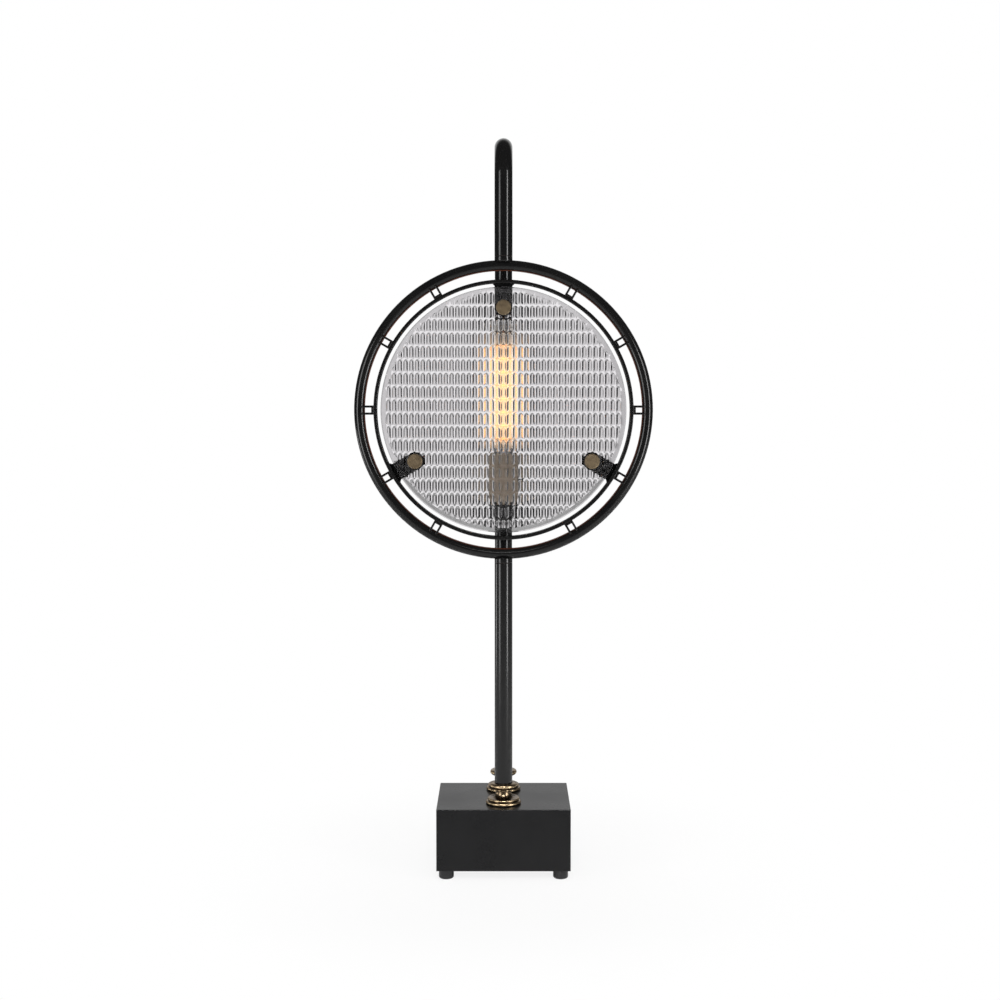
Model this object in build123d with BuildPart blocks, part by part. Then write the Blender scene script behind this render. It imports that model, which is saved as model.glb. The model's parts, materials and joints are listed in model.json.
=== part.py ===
from build123d import *
import os
from math import cos, radians, sin

# Accent lamp. A round fluted lens hangs in a double ring between a front post and a hairpin arch.
# Post and arch stand on turned collars on a weighted box base, and a tubular bulb burns behind the lens.
# Millimetres, +Z up, front towards -Y, origin on the floor under the middle of the base.

os.makedirs("parts", exist_ok=True)

# Overall sizes
overall_height = 914.4
base_width = 165.1
base_depth = 133.35
base_height = 76.2
ring_outer_diameter = 368.3
ring_drop = 337.4
post_spacing = 68.0

# Fits shared by all pieces
cut_overrun = 1.0
seat_gap = 0.05
slip_clearance = 0.25
running_clearance = 0.06

# Base shell, cover and ballast
base_wall = 2.5
base_edge_radius = 0.8
cover_thickness = 2.0
cover_clearance = 0.2
lug_size = 16.0
lug_height = 14.0
ballast_height = 24.0
ballast_gap = 3.0
ballast_corner_radius = 4.0
ballast_screw_spacing = 80.0
ballast_screw_diameter = 5.0
ballast_screw_grip = 16.0
ballast_screw_head_diameter = 9.0
ballast_screw_head_height = 3.0

# Feet and their screws
foot_height = 11.5
foot_diameter = 18.5
foot_inset = 12.0
foot_edge_radius = 2.5
foot_recess_depth = 5.0
foot_recess_diameter = 8.0
foot_screw_diameter = 4.0
foot_screw_head_diameter = 7.0
foot_screw_head_height = 2.6
foot_screw_grip = 10.0

# Cord inlet and terminal block
inlet_height = 56.0
inlet_bore_diameter = 7.0
grommet_neck_diameter = 10.0
grommet_flange_diameter = 14.0
grommet_rim_thickness = 1.2
grommet_lip_thickness = 2.0
terminal_width = 22.0
terminal_depth = 14.0
terminal_height = 12.0
terminal_screw_spacing = 9.0
terminal_screw_diameter = 4.0
terminal_screw_depth = 6.0

# Collars
collar_foot_radius = 22.0
collar_foot_height = 4.2
collar_groove_radius = 18.4
collar_groove_height = 0.8
collar_bead_radius = 19.8
collar_bead_height = 2.8
collar_cove_radius = 17.6
collar_neck_radius = 9.4
collar_neck_height = 8.6
collar_ring_radius = 11.6
collar_ring_height = 2.2
collar_throat_radius = 10.6
collar_cup_height = 3.9
collar_flange_radius = 17.0
collar_crown_height = 3.7
collar_crown_land = 1.2
bead_root_share = 0.93
cup_bulge_share = 0.62

# Tubes, threaded nipples and tube ends
tube_diameter = 22.0
tube_wall = 1.5
nipple_diameter = 9.6
nipple_bore_diameter = 6.6
nipple_tail = 4.0
nipple_grip = 12.0
plug_height = 16.0
washer_diameter = 24.0
washer_thickness = 2.0
nut_across_flats = 16.0
nut_height = 8.0
saddle_depth = 2.6
saddle_head_height = 7.0
saddle_edge_radius = 2.2
saddle_spigot_length = 12.0

# Rings and spacers
ring_bar_diameter = 13.5
ring_gap = 10.65
band_thickness = 4.2
band_depth = 12.5
band_edge_radius = 0.8
spacer_width = 11.3
spacer_strip = 2.6
spacer_angles = (0, 30, 60, 120, 150, 180, 210, 240, 300, 330)

# Lens and its clips
lens_gap = 4.3
lens_thickness = 6.0
lens_rim_radius = 1.5
clip_inset = 25.7
clip_angles = {"top": 90, "left": 210, "right": 330}
tab_width = 22.0
tab_thickness = 2.5
tab_flare = 3.0
gasket_diameter = 18.0
gasket_thickness = 1.5
lens_washer_diameter = 16.0
lens_washer_thickness = 1.0
bush_wall = 1.2
bolt_diameter = 6.0
bolt_head_diameter = 11.0
bolt_head_height = 4.0
bolt_edge_radius = 0.8
knob_diameter = 18.5
knob_length = 9.0
knob_rim_length = 3.2
knob_rim_chamfer = 1.1
knob_grip_inset = 0.6
knob_flute_diameter = 1.4
knob_flute_count = 28
knob_bore_depth = 6.8
bolt_tip_gap = 0.5

# Socket arm on the rear leg
arm_drop = 115.0
arm_height = 22.0
arm_width = 14.0
arm_bar_height = 14.0
arm_clamp_diameter = 34.0
arm_boss_diameter = 24.0
arm_edge_radius = 1.5
lead_bore_diameter = 9.0
set_screw_diameter = 5.0
set_screw_stub = 1.0

# Socket
socket_nipple_rise = 8.0
lock_nut_height = 4.5
cap_height = 16.0
cap_floor = 1.4
cap_wall = 2.0
cap_dome_share = 0.55
socket_diameter = 38.0
socket_height = 44.0
socket_wall = 1.0
core_height = 22.0
core_clearance = 0.2
sleeve_wall = 1.2
sleeve_gap = 0.5
sleeve_height = 21.0
screw_shell_wall = 0.6
screw_shell_height = 20.5
contact_diameter = 8.0
contact_height = 2.5

# Switch on the socket
switch_angle = 45
switch_rise = 11.0
switch_shaft_diameter = 4.0
switch_shaft_depth = 8.0
switch_shaft_end_gap = 0.5
switch_knob_gap = 1.5
switch_hub_diameter = 11.0
switch_hub_length = 5.0
switch_key_length = 7.0
switch_key_thickness = 3.4
switch_edge_radius = 0.9

# Bulb
bulb_length = 185.0
bulb_diameter = 30.0
bulb_glass_wall = 1.0
bulb_neck_radius = 11.0
bulb_neck_height = 9.0
bulb_shoulder_height = 7.0
bulb_tip_height = 16.0
bulb_contact_radius = 4.5
bulb_contact_height = 2.0
bulb_insulator_radius = 11.4
bulb_insulator_height = 4.0
thread_crest_radius = 13.0
thread_root_radius = 12.3
thread_pitch = 3.63
thread_turns = 4
cap_skirt_height = 6.0
cap_shell_wall = 0.8
stem_foot_radius = 9.0
stem_foot_height = 2.0
stem_radius = 3.2
stem_height = 15.0
support_radius = 7.0
support_thickness = 1.0
support_rod_radius = 0.8
filament_circle_radius = 5.6
filament_radius = 0.9
filament_length = 118.0
filament_count = 4

# Lead wires
lead_diameter = 2.2
lead_spacing = 2.8
lead_bend_radius = 8.0

# Heights and places that follow from the sizes above
base_bottom = foot_height
base_top = base_bottom + base_height
cover_top = base_bottom + cover_thickness
inner_width = base_width - 2 * base_wall
inner_depth = base_depth - 2 * base_wall
foot_spacing_x = base_width - 2 * foot_inset
foot_spacing_y = base_depth - 2 * foot_inset
ballast_top = cover_top + ballast_height
front_y = -post_spacing / 2
rear_y = post_spacing / 2
post_places = ((0, front_y), (0, rear_y))

foot_top = collar_foot_height
groove_top = foot_top + collar_groove_height
bead_top = groove_top + collar_bead_height
neck_top = bead_top + collar_neck_height
ring_top = neck_top + collar_ring_height
cup_top = ring_top + collar_cup_height
collar_height = cup_top + collar_crown_height

tube_radius = tube_diameter / 2
tube_bottom = base_top + collar_height
nipple_radius = nipple_diameter / 2
nut_bottom = base_top - base_wall - washer_thickness - nut_height
nipple_bottom = nut_bottom - nipple_tail
nipple_top = tube_bottom + nipple_grip

ring_y = front_y
ring_bar_radius = ring_bar_diameter / 2
ring_radius = ring_outer_diameter / 2 - ring_bar_radius
ring_center_height = overall_height - ring_drop
ring_location = Location((0, ring_y, ring_center_height), (90, 0, 0))
saddle_reach = ring_outer_diameter / 2 - saddle_depth + saddle_head_height
lower_tube_end = ring_center_height - saddle_reach
upper_tube_end = ring_center_height + saddle_reach
bend_radius = post_spacing / 2
bend_height = overall_height - tube_radius - bend_radius

band_outer_radius = ring_outer_diameter / 2 - ring_bar_diameter - ring_gap
band_inner_radius = band_outer_radius - band_thickness
lens_radius = band_inner_radius - lens_gap
clip_radius = lens_radius - clip_inset
band_back = ring_y + band_depth / 2
tab_back = band_back + tab_thickness
lens_back = band_back - gasket_thickness
lens_front = lens_back - lens_thickness
knob_back = lens_front - lens_washer_thickness
bolt_radius = bolt_diameter / 2
bolt_length = tab_back - knob_back + knob_bore_depth - bolt_tip_gap
bush_outer_radius = bolt_radius + slip_clearance + bush_wall
lens_hole_radius = bush_outer_radius + slip_clearance

arm_top_height = ring_center_height - arm_drop
lead_height = arm_top_height - arm_height / 2
lead_bore_radius = lead_bore_diameter / 2
arm_nipple_bottom = lead_height + lead_bore_radius
cap_top = arm_top_height + cap_height
core_top = cap_top + core_height
contact_top = core_top + contact_height
socket_radius = socket_diameter / 2
socket_inner_radius = socket_radius - socket_wall
core_radius = socket_inner_radius - core_clearance
screw_shell_inner_radius = thread_crest_radius + running_clearance
switch_height = cap_top + switch_rise

insulator_bottom = contact_top + bulb_contact_height
cap_shell_bottom = insulator_bottom + bulb_insulator_height
thread_top = cap_shell_bottom + thread_turns * thread_pitch
cap_shell_top = thread_top + cap_skirt_height
bulb_top = contact_top + bulb_length
neck_bottom = cap_shell_top - bulb_neck_height
stem_top = neck_bottom + stem_foot_height + stem_height
filament_bottom = stem_top + support_thickness
filament_top = filament_bottom + filament_length


def front_plane(x, y, z):
    """Plane at a point that faces the front, with its own x along +X and its own y along +Z."""
    return Plane(origin=(x, y, z), x_dir=(1, 0, 0), z_dir=(0, -1, 0))


def ring_plane(y):
    """Front plane centred on the rings."""
    return front_plane(0, y, ring_center_height)


def clip_plane(angle, y):
    """Front plane centred on one lens bolt."""
    x = clip_radius * cos(radians(angle))
    z = ring_center_height + clip_radius * sin(radians(angle))
    return front_plane(x, y, z)


def clip_locations():
    """The three lens bolts, on a plane centred on the rings."""
    first_angle = clip_angles["top"]
    return PolarLocations(clip_radius, len(clip_angles), start_angle=first_angle)


# Base shell: a box open underneath, with a tapped lug in each corner
with BuildPart() as base_shell:
    with BuildSketch(Plane.XY.offset(base_bottom)):
        RectangleRounded(base_width, base_depth, base_edge_radius)
    extrude(amount=base_height)
    fillet(base_shell.faces().sort_by(Axis.Z)[-1].edges(), radius=base_edge_radius)
    with BuildSketch(Plane.XY.offset(base_bottom)):
        Rectangle(inner_width, inner_depth)
    extrude(amount=base_height - base_wall, mode=Mode.SUBTRACT)
    with BuildSketch(Plane.XY.offset(cover_top)):
        with GridLocations(inner_width - lug_size, inner_depth - lug_size, 2, 2):
            Rectangle(lug_size, lug_size)
    extrude(amount=lug_height)
    with BuildSketch(Plane.XY.offset(cover_top)):
        with GridLocations(foot_spacing_x, foot_spacing_y, 2, 2):
            Circle(foot_screw_diameter / 2 + seat_gap)
    extrude(amount=lug_height, mode=Mode.SUBTRACT)
    with BuildSketch(Plane.XY.offset(base_top)):
        with Locations(*post_places):
            Circle(nipple_radius + slip_clearance)
    extrude(amount=-base_wall, mode=Mode.SUBTRACT)
    with BuildSketch(front_plane(0, base_depth / 2, inlet_height)):
        Circle(grommet_flange_diameter / 2 + slip_clearance)
    extrude(amount=grommet_rim_thickness, mode=Mode.SUBTRACT)
    with BuildSketch(front_plane(0, base_depth / 2, inlet_height)):
        Circle(grommet_neck_diameter / 2 + seat_gap)
    extrude(amount=base_wall, mode=Mode.SUBTRACT)
base_shell.part.label = "base_shell"
export_step(base_shell.part, "parts/base_shell.step")

# Base cover: a plate let into the open underside, against the lugs
with BuildPart() as base_cover:
    with BuildSketch(Plane.XY.offset(base_bottom)):
        Rectangle(inner_width - 2 * cover_clearance, inner_depth - 2 * cover_clearance)
        with GridLocations(foot_spacing_x, foot_spacing_y, 2, 2):
            Circle(foot_screw_diameter / 2 + slip_clearance, mode=Mode.SUBTRACT)
        with GridLocations(ballast_screw_spacing, 0, 2, 1):
            Circle(ballast_screw_diameter / 2 + slip_clearance, mode=Mode.SUBTRACT)
    extrude(amount=cover_thickness)
base_cover.part.label = "base_cover"
export_step(base_cover.part, "parts/base_cover.step")

# Ballast: an iron slab on the cover, between the lugs
with BuildPart() as ballast:
    with BuildSketch(Plane.XY.offset(cover_top)):
        RectangleRounded(
            inner_width - 2 * (lug_size + ballast_gap),
            inner_depth - 2 * ballast_gap,
            ballast_corner_radius,
        )
        with GridLocations(ballast_screw_spacing, 0, 2, 1):
            Circle(ballast_screw_diameter / 2 + seat_gap, mode=Mode.SUBTRACT)
    extrude(amount=ballast_height)
ballast.part.label = "ballast"
export_step(ballast.part, "parts/ballast.step")

# Ballast screws: heads under the cover, shanks in the slab
with BuildPart() as ballast_screws:
    with BuildSketch(Plane.XY.offset(base_bottom)):
        with GridLocations(ballast_screw_spacing, 0, 2, 1):
            Circle(ballast_screw_head_diameter / 2)
    extrude(amount=-ballast_screw_head_height)
    with BuildSketch(Plane.XY.offset(base_bottom)):
        with GridLocations(ballast_screw_spacing, 0, 2, 1):
            Circle(ballast_screw_diameter / 2)
    extrude(amount=cover_thickness + ballast_screw_grip)
ballast_screws.part.label = "ballast_screws"
export_step(ballast_screws.part, "parts/ballast_screws.step")

# Feet: round pads with a rounded lower edge and a recess for the screw head
foot_sides = {
    "foot_front_left": (-1, -1),
    "foot_front_right": (1, -1),
    "foot_rear_left": (-1, 1),
    "foot_rear_right": (1, 1),
}
for foot_name, (side, end) in foot_sides.items():
    foot_plane = Plane(origin=(side * foot_spacing_x / 2, end * foot_spacing_y / 2, 0))
    with BuildPart() as foot:
        with BuildSketch(foot_plane):
            Circle(foot_diameter / 2)
        extrude(amount=foot_height)
        fillet(foot.faces().sort_by(Axis.Z)[0].edges(), radius=foot_edge_radius)
        with BuildSketch(foot_plane):
            Circle(foot_recess_diameter / 2)
        extrude(amount=foot_recess_depth, mode=Mode.SUBTRACT)
        with BuildSketch(foot_plane):
            Circle(foot_screw_diameter / 2 + slip_clearance)
        extrude(amount=foot_height, mode=Mode.SUBTRACT)
    foot.part.label = foot_name
    export_step(foot.part, f"parts/{foot_name}.step")

# Foot screws: through foot and cover into the lugs
with BuildPart() as foot_screws:
    with BuildSketch(Plane.XY.offset(foot_recess_depth)):
        with GridLocations(foot_spacing_x, foot_spacing_y, 2, 2):
            Circle(foot_screw_head_diameter / 2)
    extrude(amount=-foot_screw_head_height)
    with BuildSketch(Plane.XY.offset(foot_recess_depth)):
        with GridLocations(foot_spacing_x, foot_spacing_y, 2, 2):
            Circle(foot_screw_diameter / 2)
    extrude(amount=cover_top - foot_recess_depth + foot_screw_grip)
foot_screws.part.label = "foot_screws"
export_step(foot_screws.part, "parts/foot_screws.step")

# Inlet grommet: a rubber bush, flush with the rear wall, where the mains cord goes in
with BuildPart() as inlet_grommet:
    with BuildSketch(front_plane(0, base_depth / 2, inlet_height)):
        Circle(grommet_flange_diameter / 2)
    extrude(amount=grommet_rim_thickness)
    with BuildSketch(front_plane(0, base_depth / 2, inlet_height)):
        Circle(grommet_neck_diameter / 2)
    extrude(amount=base_wall)
    with BuildSketch(front_plane(0, base_depth / 2 - base_wall, inlet_height)):
        Circle(grommet_flange_diameter / 2)
    extrude(amount=grommet_lip_thickness)
    with BuildSketch(front_plane(0, base_depth / 2, inlet_height)):
        Circle(inlet_bore_diameter / 2)
    extrude(amount=base_wall + grommet_lip_thickness, mode=Mode.SUBTRACT)
inlet_grommet.part.label = "inlet_grommet"
export_step(inlet_grommet.part, "parts/inlet_grommet.step")

# Terminal block on the ballast, with two clamp screws let into its top
with BuildPart() as terminal_block:
    with BuildSketch(Plane.XY.offset(ballast_top)):
        Rectangle(terminal_width, terminal_depth)
    extrude(amount=terminal_height)
    with BuildSketch(Plane.XY.offset(ballast_top + terminal_height)):
        with GridLocations(terminal_screw_spacing, 0, 2, 1):
            Circle(terminal_screw_diameter / 2 + seat_gap)
    extrude(amount=-terminal_screw_depth, mode=Mode.SUBTRACT)
terminal_block.part.label = "terminal_block"
export_step(terminal_block.part, "parts/terminal_block.step")

with BuildPart() as terminal_screws:
    with BuildSketch(Plane.XY.offset(ballast_top + terminal_height - terminal_screw_depth)):
        with GridLocations(terminal_screw_spacing, 0, 2, 1):
            Circle(terminal_screw_diameter / 2)
    extrude(amount=terminal_screw_depth)
terminal_screws.part.label = "terminal_screws"
export_step(terminal_screws.part, "parts/terminal_screws.step")

# Collars: turned bronze, from the foot bead up to the crown that the tube stands on
for collar_name, post_y in (("front_collar", front_y), ("rear_collar", rear_y)):
    foot_root = bead_root_share * collar_foot_radius
    bead_root = bead_root_share * collar_bead_radius
    small_root = bead_root_share * collar_ring_radius
    crown_radius = tube_radius + collar_crown_land
    bulge_radius = collar_throat_radius + cup_bulge_share * (collar_flange_radius - collar_throat_radius)
    with BuildPart() as collar:
        with BuildSketch(front_plane(0, post_y, base_top)):
            with BuildLine():
                Polyline((0, collar_height), (0, 0), (foot_root, 0))
                ThreePointArc((foot_root, 0), (collar_foot_radius, foot_top / 2), (foot_root, foot_top))
                Polyline(
                    (foot_root, foot_top),
                    (collar_groove_radius, foot_top),
                    (collar_groove_radius, groove_top),
                    (bead_root, groove_top),
                )
                ThreePointArc(
                    (bead_root, groove_top),
                    (collar_bead_radius, (groove_top + bead_top) / 2),
                    (bead_root, bead_top),
                )
                Line((bead_root, bead_top), (collar_cove_radius, bead_top))
                Bezier(
                    (collar_cove_radius, bead_top),
                    (collar_neck_radius, bead_top),
                    (collar_neck_radius, neck_top),
                )
                Line((collar_neck_radius, neck_top), (small_root, neck_top))
                ThreePointArc(
                    (small_root, neck_top),
                    (collar_ring_radius, (neck_top + ring_top) / 2),
                    (small_root, ring_top),
                )
                Line((small_root, ring_top), (collar_throat_radius, ring_top))
                ThreePointArc(
                    (collar_throat_radius, ring_top),
                    (bulge_radius, (ring_top + cup_top) / 2),
                    (collar_flange_radius, cup_top),
                )
                Bezier(
                    (collar_flange_radius, cup_top),
                    (collar_flange_radius, collar_height),
                    (crown_radius, collar_height),
                )
                Line((crown_radius, collar_height), (0, collar_height))
            make_face()
        revolve(axis=Axis((0, post_y, base_top), (0, 0, 1)))
        with BuildSketch(Plane(origin=(0, post_y, base_top))):
            Circle(nipple_radius + slip_clearance)
        extrude(amount=collar_height, mode=Mode.SUBTRACT)
    collar.part.label = collar_name
    export_step(collar.part, f"parts/{collar_name}.step")

# Nipples: hollow threaded rods that pull tube, collar and base together
for nipple_name, post_y in (("front_nipple", front_y), ("rear_nipple", rear_y)):
    with BuildPart() as nipple:
        with BuildSketch(Plane(origin=(0, post_y, nipple_bottom))):
            Circle(nipple_radius)
            Circle(nipple_bore_diameter / 2, mode=Mode.SUBTRACT)
        extrude(amount=nipple_top - nipple_bottom)
    nipple.part.label = nipple_name
    export_step(nipple.part, f"parts/{nipple_name}.step")

# Washers and hexagon nuts on the nipples, inside the base
with BuildPart() as nipple_washers:
    with BuildSketch(Plane.XY.offset(nut_bottom + nut_height)):
        with Locations(*post_places):
            Circle(washer_diameter / 2)
            Circle(nipple_radius + slip_clearance, mode=Mode.SUBTRACT)
    extrude(amount=washer_thickness)
nipple_washers.part.label = "nipple_washers"
export_step(nipple_washers.part, "parts/nipple_washers.step")

with BuildPart() as nipple_nuts:
    with BuildSketch(Plane.XY.offset(nut_bottom)):
        with Locations(*post_places):
            RegularPolygon(nut_across_flats / 2, 6, major_radius=False)
            Circle(nipple_radius + seat_gap, mode=Mode.SUBTRACT)
    extrude(amount=nut_height)
nipple_nuts.part.label = "nipple_nuts"
export_step(nipple_nuts.part, "parts/nipple_nuts.step")

# Tube plugs: threaded inserts in the lower ends of post and arch
with BuildPart() as tube_plugs:
    with BuildSketch(Plane.XY.offset(tube_bottom)):
        with Locations(*post_places):
            Circle(tube_radius - tube_wall - seat_gap)
            Circle(nipple_radius + seat_gap, mode=Mode.SUBTRACT)
    extrude(amount=plug_height)
tube_plugs.part.label = "tube_plugs"
export_step(tube_plugs.part, "parts/tube_plugs.step")

# Front post: a straight tube from the front collar to the lower saddle
with BuildPart() as front_post:
    with BuildSketch(Plane(origin=(0, front_y, tube_bottom))):
        Circle(tube_radius)
        Circle(tube_radius - tube_wall, mode=Mode.SUBTRACT)
    extrude(amount=lower_tube_end - tube_bottom)
front_post.part.label = "front_post"
export_step(front_post.part, "parts/front_post.step")

# Arch: one tube, up from the rear collar, over in a half turn and down to the upper saddle
with BuildPart() as arch_tube:
    with BuildLine(Plane.YZ):
        Line((rear_y, tube_bottom), (rear_y, bend_height))
        ThreePointArc((rear_y, bend_height), (0, bend_height + bend_radius), (front_y, bend_height))
        Line((front_y, bend_height), (front_y, upper_tube_end))
    with BuildSketch(Plane(origin=(0, rear_y, tube_bottom))):
        Circle(tube_radius)
        Circle(tube_radius - tube_wall, mode=Mode.SUBTRACT)
    sweep()
    with BuildSketch(front_plane(0, rear_y, lead_height)):
        Circle(lead_bore_radius)
    extrude(amount=tube_radius, mode=Mode.SUBTRACT)
arch_tube.part.label = "arch_tube"
export_step(arch_tube.part, "parts/arch_tube.step")

# Saddles: plugs that close the tube ends and cup the outer ring
for saddle_name, tube_end, way in (
    ("lower_saddle", lower_tube_end, 1),
    ("upper_saddle", upper_tube_end, -1),
):
    seat = Plane(origin=(0, ring_y, tube_end), x_dir=(1, 0, 0), z_dir=(0, 0, way))
    with BuildPart() as saddle:
        with BuildSketch(seat):
            Circle(tube_radius)
        extrude(amount=saddle_head_height)
        crown = saddle.faces().sort_by(Axis((0, 0, 0), (0, 0, way)))[-1]
        fillet(crown.edges(), radius=saddle_edge_radius)
        with BuildSketch(seat):
            Circle(tube_radius - tube_wall - seat_gap)
        extrude(amount=-saddle_spigot_length)
        with Locations(ring_location):
            Torus(ring_radius, ring_bar_radius + seat_gap, mode=Mode.SUBTRACT)
    saddle.part.label = saddle_name
    export_step(saddle.part, f"parts/{saddle_name}.step")

# Outer ring: round bar bent to a circle
with BuildPart() as outer_ring:
    with Locations(ring_location):
        Torus(ring_radius, ring_bar_radius)
outer_ring.part.label = "outer_ring"
export_step(outer_ring.part, "parts/outer_ring.step")

# Inner ring: a flat band on edge, round the lens
with BuildPart() as inner_ring:
    with BuildSketch(ring_plane(band_back)):
        Circle(band_outer_radius)
        Circle(band_inner_radius, mode=Mode.SUBTRACT)
    extrude(amount=band_depth)
    fillet(inner_ring.edges().filter_by(GeomType.CIRCLE), radius=band_edge_radius)
inner_ring.part.label = "inner_ring"
export_step(inner_ring.part, "parts/inner_ring.step")

# Spacers: bent strips, their webs on the band and their legs cut to the round bar
with BuildPart() as ring_spacers:
    with BuildSketch(ring_plane(band_back)):
        for angle in spacer_angles:
            Rectangle(ring_radius, spacer_width, rotation=angle, align=(Align.MIN, Align.CENTER))
        Circle(band_outer_radius + seat_gap, mode=Mode.SUBTRACT)
        web_outer_radius = band_outer_radius + spacer_strip
        for angle in spacer_angles:
            with PolarLocations(web_outer_radius, 1, start_angle=angle):
                Rectangle(
                    ring_radius,
                    spacer_width - 2 * spacer_strip,
                    align=(Align.MIN, Align.CENTER),
                    mode=Mode.SUBTRACT,
                )
    extrude(amount=band_depth)
    with Locations(ring_location):
        Torus(ring_radius, ring_bar_radius + seat_gap, mode=Mode.SUBTRACT)
ring_spacers.part.label = "ring_spacers"
export_step(ring_spacers.part, "parts/ring_spacers.step")

# Lens tabs: flat strips welded behind the band, reaching in behind the glass
for clip_name, angle in clip_angles.items():
    flare_start = band_inner_radius - tab_flare
    flare_half = tab_width / 2 + tab_flare
    with BuildPart() as lens_tab:
        with BuildSketch(ring_plane(tab_back)):
            Polygon(
                (clip_radius, -tab_width / 2),
                (flare_start, -tab_width / 2),
                (band_inner_radius, -flare_half),
                (band_outer_radius, -flare_half),
                (band_outer_radius, flare_half),
                (band_inner_radius, flare_half),
                (flare_start, tab_width / 2),
                (clip_radius, tab_width / 2),
                rotation=angle,
                align=None,
            )
            with PolarLocations(clip_radius, 1, start_angle=angle):
                Circle(tab_width / 2)
                Circle(bolt_radius + slip_clearance, mode=Mode.SUBTRACT)
            Circle(band_outer_radius, mode=Mode.INTERSECT)
        extrude(amount=tab_thickness)
    lens_tab.part.label = f"lens_tab_{clip_name}"
    export_step(lens_tab.part, f"parts/lens_tab_{clip_name}.step")

# Lens: a glass disc with three bolt holes
with BuildPart() as lens:
    with BuildSketch(ring_plane(lens_back)):
        Circle(lens_radius)
        with clip_locations():
            Circle(lens_hole_radius, mode=Mode.SUBTRACT)
    extrude(amount=lens_thickness)
    rim_edges = lens.edges().filter_by(GeomType.CIRCLE).sort_by(SortBy.RADIUS)[-2:]
    fillet(rim_edges, radius=lens_rim_radius)
lens.part.label = "lens"
export_step(lens.part, "parts/lens.step")

# Gaskets behind the glass, bushes in its holes and washers in front of it
with BuildPart() as lens_gaskets:
    with BuildSketch(ring_plane(band_back)):
        with clip_locations():
            Circle(gasket_diameter / 2)
            Circle(bolt_radius + slip_clearance, mode=Mode.SUBTRACT)
    extrude(amount=gasket_thickness)
lens_gaskets.part.label = "lens_gaskets"
export_step(lens_gaskets.part, "parts/lens_gaskets.step")

with BuildPart() as lens_bushes:
    with BuildSketch(ring_plane(lens_back)):
        with clip_locations():
            Circle(bush_outer_radius)
            Circle(bolt_radius + slip_clearance, mode=Mode.SUBTRACT)
    extrude(amount=lens_thickness)
lens_bushes.part.label = "lens_bushes"
export_step(lens_bushes.part, "parts/lens_bushes.step")

for clip_name, angle in clip_angles.items():
    with BuildPart() as lens_washer:
        with BuildSketch(clip_plane(angle, lens_front)):
            Circle(lens_washer_diameter / 2)
            Circle(bolt_radius + slip_clearance, mode=Mode.SUBTRACT)
        extrude(amount=lens_washer_thickness)
    lens_washer.part.label = f"lens_washer_{clip_name}"
    export_step(lens_washer.part, f"parts/lens_washer_{clip_name}.step")

# Lens bolts: heads behind the tabs, threads out in front for the knobs
with BuildPart() as lens_bolts:
    with BuildSketch(ring_plane(tab_back)):
        with clip_locations():
            Circle(bolt_head_diameter / 2)
    extrude(amount=-bolt_head_height)
    fillet(lens_bolts.edges().group_by(Axis.Y)[-1], radius=bolt_edge_radius)
    with BuildSketch(ring_plane(tab_back)):
        with clip_locations():
            Circle(bolt_radius)
    extrude(amount=bolt_length)
lens_bolts.part.label = "lens_bolts"
export_step(lens_bolts.part, "parts/lens_bolts.step")

# Lens knobs: round thumb nuts with a smooth front rim and a fluted grip
for clip_name, angle in clip_angles.items():
    grip_length = knob_length - knob_rim_length
    grip_radius = knob_diameter / 2 - knob_grip_inset
    with BuildPart() as lens_knob:
        with BuildSketch(clip_plane(angle, knob_back)):
            Circle(grip_radius)
            with PolarLocations(grip_radius, knob_flute_count):
                Circle(knob_flute_diameter / 2, mode=Mode.SUBTRACT)
        extrude(amount=grip_length)
        with BuildSketch(clip_plane(angle, knob_back - grip_length)):
            Circle(knob_diameter / 2)
        extrude(amount=knob_rim_length)
        chamfer(lens_knob.faces().sort_by(Axis.Y)[0].edges(), length=knob_rim_chamfer)
        with BuildSketch(clip_plane(angle, knob_back)):
            Circle(bolt_radius + running_clearance)
        extrude(amount=knob_bore_depth, mode=Mode.SUBTRACT)
    lens_knob.part.label = f"lens_knob_{clip_name}"
    export_step(lens_knob.part, f"parts/lens_knob_{clip_name}.step")

# Socket arm: a clamp round the rear leg, a bored bar and a boss under the socket
with BuildPart() as socket_arm:
    with BuildSketch(Plane.XY.offset(arm_top_height)):
        with Locations((0, rear_y)):
            Circle(arm_clamp_diameter / 2)
        Circle(arm_boss_diameter / 2)
    extrude(amount=-arm_height)
    with BuildSketch(front_plane(0, rear_y, lead_height)):
        RectangleRounded(arm_width, arm_bar_height, arm_edge_radius)
    extrude(amount=rear_y)
    with BuildSketch(Plane.XY.offset(arm_top_height)):
        with Locations((0, rear_y)):
            Circle(tube_radius + seat_gap)
    extrude(amount=-arm_height, mode=Mode.SUBTRACT)
    with BuildSketch(front_plane(0, rear_y, lead_height)):
        Circle(lead_bore_radius)
    extrude(amount=rear_y + lead_bore_radius, mode=Mode.SUBTRACT)
    with BuildSketch(Plane.XY.offset(lead_height)):
        Circle(lead_bore_radius)
    extrude(amount=arm_height / 2, mode=Mode.SUBTRACT)
    with BuildSketch(Plane.XY.offset(arm_nipple_bottom)):
        Circle(nipple_radius + seat_gap)
    extrude(amount=arm_height / 2, mode=Mode.SUBTRACT)
    with BuildSketch(front_plane(0, rear_y + arm_clamp_diameter / 2 + cut_overrun, lead_height)):
        Circle(set_screw_diameter / 2 + seat_gap)
    extrude(amount=arm_clamp_diameter / 2, mode=Mode.SUBTRACT)
socket_arm.part.label = "socket_arm"
export_step(socket_arm.part, "parts/socket_arm.step")

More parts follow.
